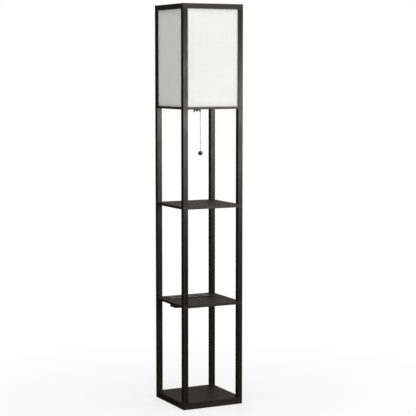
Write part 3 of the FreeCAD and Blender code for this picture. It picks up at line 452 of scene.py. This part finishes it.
def carve(build, corners, top, bottom, taper=0.7):
    """Cut a recess into what is built. Its corners lie round the axis, and taper is the share left below."""
    blade = bmesh.new()
    upper = [blade.verts.new((x, y, top)) for x, y in corners]
    lower = [blade.verts.new((x * taper, y * taper, bottom)) for x, y in corners]
    blade.faces.new(upper)
    blade.faces.new(lower[::-1])
    for k in range(len(corners)):
        n = (k + 1) % len(corners)
        blade.faces.new((upper[k], lower[k], lower[n], upper[n]))
    bmesh.ops.recalc_face_normals(blade, faces=blade.faces)
    bmesh.ops.recalc_face_normals(build, faces=build.faces)
    solid, tool = [add_object(name, bpy.data.meshes.new(name)) for name in ("solid", "tool")]
    build.to_mesh(solid.data)
    blade.to_mesh(tool.data)
    cut = solid.modifiers.new("cut", "BOOLEAN")
    cut.operation = "DIFFERENCE"
    cut.solver = "EXACT"
    cut.object = tool
    result = solid.evaluated_get(bpy.context.evaluated_depsgraph_get()).to_mesh()
    build.clear()
    build.from_mesh(result)
    for made in (solid, tool):
        bpy.data.objects.remove(made)
    blade.free()


def thread(pitch, depth):
    """The ridge of a screw thread, for revolve."""
    def ridge(height, turn):
        phase = (height / pitch - turn) % 1.0
        return -depth * abs(2 * phase - 1)
    return ridge


def threaded(radius, foot, top, pitch):
    """Profile points up a thread."""
    steps = max(2, round((top - foot) / pitch * THREAD_STEPS))
    return [(radius, foot + (top - foot) * k / steps, True) for k in range(steps + 1)]


def cross(half_length, half_width):
    """The corners of a cross recess, seen along the screw."""
    arm = [(half_length, -half_width), (half_length, half_width), (half_width, half_width)]
    corners = []
    for quarter in range(4):
        c, s = round(math.cos(quarter * math.pi / 2)), round(math.sin(quarter * math.pi / 2))
        corners += [(c * x - s * y, s * x + c * y) for x, y in arm]
    return corners


def copies(name, build, places, material):
    """One piece made of copies of a form, each at its own place, turned over where up is -1.

    The form and the places are in millimetres, and the piece in metres.
    """
    form = bpy.data.meshes.new(name)
    build.to_mesh(form)
    build.free()
    every = bmesh.new()
    for x, y, z, up in places:
        before = len(every.verts)
        every.from_mesh(form)
        every.verts.ensure_lookup_table()
        for vertex in every.verts[before:]:
            place = vertex.co
            vertex.co = Vector((x + place.x, y + up * place.y, z + up * place.z)) * MILLIMETRE
    bpy.data.meshes.remove(form)
    return piece_from(name, every, material)


def pan_screw(name, places, shank, node, slot):
    """Domed screws with a cross recess, their shanks threaded to a point. The head's underside is at 0."""
    head, height, rim, dome_steps, fullness = 3.68, 2.38, 0.5, 9, 0.7
    core, neck, neck_foot = 1.88, 1.88 * 0.86, -1.2
    tip, point, point_top = 0.35, 1.88 * 0.8, -shank + 2.4
    pitch, ridge, thread_foot, thread_top = 1.4, 0.42, -shank + 2.6, -1.6
    arm, arm_half_width, recess = 2.05, 0.42, 1.6
    build = bmesh.new()
    profile = [(tip, -shank), (point, point_top)] + threaded(core, thread_foot, thread_top, pitch)
    profile += [(neck, neck_foot), (neck, 0.0), (head, 0.0), (head, rim)]
    for k in range(1, dome_steps):
        angle = math.pi / 2 * k / dome_steps
        profile.append((head * math.cos(angle) ** fullness, rim + (height - rim) * math.sin(angle)))
    revolve(build, profile, 40, thread(pitch, ridge), capped=True)
    carve(build, cross(arm, arm_half_width), height + CLEAR, height - recess)
    screws = copies(name, build, places, finishes[slot])
    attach(screws, "lamp")
    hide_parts(node)


def base_bolts():
    """Flat heads with a hexagon socket, sunk in the base's underside, and threaded shanks."""
    head, height, bevel, bulge = 5.98, 3.4, 0.5, 0.15
    shank, shank_foot, foot = 2.98, -23.5, -44.0
    tip, point, point_top = 2.4, 2.95, foot + 0.7
    pitch, ridge, thread_foot, thread_top = 1.0, 0.45, foot + 0.9, -24.0
    key, recess = 2.3, 2.2
    build = bmesh.new()
    profile = [(tip, foot), (point, point_top)] + threaded(shank, thread_foot, thread_top, pitch)
    profile += [(shank, shank_foot), (shank, 0.0), (head, 0.0)]
    profile += [(head, height - bevel), (head - bulge, height - bulge), (head - bevel, height)]
    revolve(build, profile, 48, thread(pitch, ridge), capped=True)
    hexagon = [(key * math.cos(k * math.pi / 3), key * math.sin(k * math.pi / 3)) for k in range(6)]
    carve(build, hexagon, height + CLEAR, height - recess, taper=1.0)
    places = [(x, y, BOLT_SEAT, -1) for x in POST_CENTRES for y in POST_CENTRES]
    bolts = copies("base_bolts_detailed", build, places, finishes["zinc_steel"])
    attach(bolts, "lamp")
    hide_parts("base_bolts")


def lamp_nipple():
    """The hollow threaded rod that holds the lamp holder on its strap."""
    outer, inner, height = 4.88, 3.6, 23.8
    lip, lead = inner + 0.7, 0.5
    pitch, ridge = 1.0, 0.5
    build = bmesh.new()
    profile = [(inner, 0.0), (lip, 0.0)] + threaded(outer, lead, height - lead, pitch)
    profile += [(lip, height), (inner, height), (inner, 0.0)]
    revolve(build, profile, 64, thread(pitch, ridge))
    bmesh.ops.remove_doubles(build, verts=build.verts, dist=SAME_POINT)
    places = [(0.0, HOLDER_Y, NIPPLE_FOOT, 1)]
    nipple = copies("lamp_nipple_threaded", build, places, finishes["zinc_steel"])
    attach(nipple, "lamp")
    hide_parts("lamp_nipple")


def usb_shells():
    """The thin folded metal tubes that line the two ports."""
    length, width, wall, depth = 12.56, 5.16, 0.25, 10.7
    # Inset from the outside and level, up the outside, over the bevelled rim and down the inside.
    outer_bevel, outer_drop, inner_bevel, inner_drop = 0.08, 0.1, 0.05, 0.08
    outside = [(0.0, -depth), (0.0, -outer_drop), (outer_bevel, 0.0)]
    inside = [(wall - inner_bevel, 0.0), (wall, -inner_drop), (wall, -depth)]
    build = bmesh.new()
    loops = []
    for inset, level in outside + inside:
        x, y = length / 2 - inset, width / 2 - inset
        corners = [(-x, -y), (x, -y), (x, y), (-x, y)]
        loops.append([build.verts.new((a, b, level)) for a, b in corners])
    for low, high in zip(loops, loops[1:] + loops[:1]):
        for k in range(4):
            n = (k + 1) % 4
            build.faces.new((low[k], low[n], high[n], high[k]))
    places = [(x, MODULE_Y, PORT_TOP, 1) for x in PORT_X]
    shells = copies("usb_port_shells", build, places, finishes["nickel"])
    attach(shells, "lamp")


strap_places = [(x, HOLDER_Y, STRAP_TOP, 1) for x in STRAP_SCREW_X]
housing_places = [(x, MODULE_Y, HOUSING_FLOOR, -1) for x in HOUSING_SCREW_X]
pan_screw("strap_screws_domed", strap_places, 9.0, "strap_screws", "black_steel")
pan_screw("housing_screws_domed", housing_places, 9.5, "housing_screws", "zinc_steel")
base_bolts()
lamp_nipple()
usb_shells()


# Studio ------------------------------------------------------------------------------------------

def seen_share(tree):
    """One for the rays that show a background: camera, glossy and transmission rays."""
    path = tree.nodes.new("ShaderNodeLightPath")
    share = path.outputs["Is Camera Ray"]
    for name in ("Is Glossy Ray", "Is Transmission Ray"):
        larger = tree.nodes.new("ShaderNodeMath")
        larger.operation = "MAXIMUM"
        tree.links.new(share, larger.inputs[0])
        tree.links.new(path.outputs[name], larger.inputs[1])
        share = larger.outputs[0]
    return share


def white_world():
    """A plain dome: white where it is seen, dimmer where it lights the lamp."""
    world = bpy.data.worlds.new("studio")
    bpy.context.scene.world = world
    world.use_nodes = True
    tree = world.node_tree
    background = tree.nodes["Background"]
    background.inputs["Color"].default_value = (*WHITE, 1.0)
    strength = tree.nodes.new("ShaderNodeMapRange")
    tree.links.new(seen_share(tree), strength.inputs[0])
    strength.inputs["To Min"].default_value = AMBIENT_LEVEL
    strength.inputs["To Max"].default_value = 1.0
    tree.links.new(strength.outputs[0], background.inputs["Strength"])


def floor():
    """A pale floor that keeps the lamp's shadow near its base and fades to plain white further out."""
    finish = Finish("floor", FLOOR_COLOUR, 0.9, Specular_IOR_Level=0.1)
    tree = finish.material.node_tree
    reach = finish.add("ShaderNodeVectorMath", {0: finish.point()}, operation="LENGTH").outputs["Value"]
    white = finish.between(reach, *FLOOR_FADE, FLOOR_NEAR_WHITE, 1.0)
    glow = finish.add("ShaderNodeEmission", {"Color": (*WHITE, 1.0), "Strength": 1.0})
    share = finish.work("MULTIPLY", white, seen_share(tree))
    both = finish.add("ShaderNodeMixShader", {0: share, 1: finish.surface.outputs[0], 2: glow.outputs[0]})
    finish.links.new(both.outputs[0], finish.nodes["Material Output"].inputs["Surface"])
    edge = FLOOR_SIZE / 2
    mesh = bpy.data.meshes.new("floor")
    corners = [(-edge, -edge, 0), (edge, -edge, 0), (edge, edge, 0), (-edge, edge, 0)]
    mesh.from_pydata(corners, [], [(0, 1, 2, 3)])
    mesh.materials.append(finish.material)
    add_object("floor", mesh)


def softbox(name, at, towards, size, radiance, mirrored=True):
    """A soft light. One that isn't mirrored is left out of gloss, so it lights no shelf at a shallow angle."""
    light = bpy.data.lights.new(name, "AREA")
    light.shape = "RECTANGLE"
    light.size, light.size_y = size
    light.energy = radiance * math.pi * size[0] * size[1]
    lamp = add_object(name, light)
    lamp.visible_camera = False
    lamp.visible_glossy = mirrored
    lamp.location = at
    lamp.rotation_euler = (Vector(towards) - Vector(at)).to_track_quat("-Z", "Y").to_euler()


def dark_wall():
    """Dark cards round the lamp that only reflections see, so that the paint stays dark at shallow angles.

    They are one ring on the floor and a wall at its outer edge, darkest behind the lamp's left side.
    """
    finish = Finish("dark_wall", (0.0, 0.0, 0.0), 1.0)
    outward = finish.add("ShaderNodeVectorMath", {0: finish.point()}, operation="NORMALIZE").outputs["Vector"]
    way = finish.axes(outward)
    turn = finish.work("SUBTRACT", way["x"], finish.work("MULTIPLY", way["y"], WALL_LEAN))
    level = finish.between(turn, -1.0, 1.0, *WALL_GREY)
    glow = finish.add("ShaderNodeEmission", {"Color": (*WHITE, 1.0), "Strength": level})
    finish.links.new(glow.outputs[0], finish.nodes["Material Output"].inputs["Surface"])
    build = bmesh.new()
    profile = [(APRON_RADIUS, APRON_LIFT), (WALL_RADIUS, APRON_LIFT), (WALL_RADIUS, WALL_HEIGHT)]
    revolve(build, profile, WALL_SIDES)
    wall = piece_from("dark_wall", build, finish.material)
    wall.visible_camera = False
    wall.visible_diffuse = False
    wall.visible_transmission = False
    wall.visible_shadow = False


def camera():
    """The photograph's view of the lamp."""
    view = bpy.data.cameras.new("camera")
    view.sensor_width = SENSOR
    view.lens = CAMERA_LENS
    view.clip_end = CAMERA_REACH
    holder = add_object("camera", view)
    holder.location = CAMERA_AT
    holder.rotation_euler = (math.pi / 2 - CAMERA_PITCH, 0.0, -CAMERA_YAW)
    bpy.context.scene.camera = holder


bpy.context.scene.view_settings.view_transform = "Standard"
white_world()
floor()
softbox("key", at=(1.0, -2.33, 1.07), towards=(0.0, -0.13, 1.12), size=(0.7, 0.6), radiance=19.0)
softbox("catch", at=(-1.11, -2.24, 1.7), towards=(0.0, 0.0, 1.0), size=(0.45, 0.35), radiance=12.0)
softbox("overhead", at=(-0.4, -0.8, 4.0), towards=(0.0, 0.0, 0.8), size=(3.0, 3.0), radiance=1.2)
softbox("rear", at=(1.0, 3.0, 2.5), towards=(0.0, 0.0, 0.9), size=(2.0, 1.6), radiance=4.2, mirrored=False)
dark_wall()
camera()
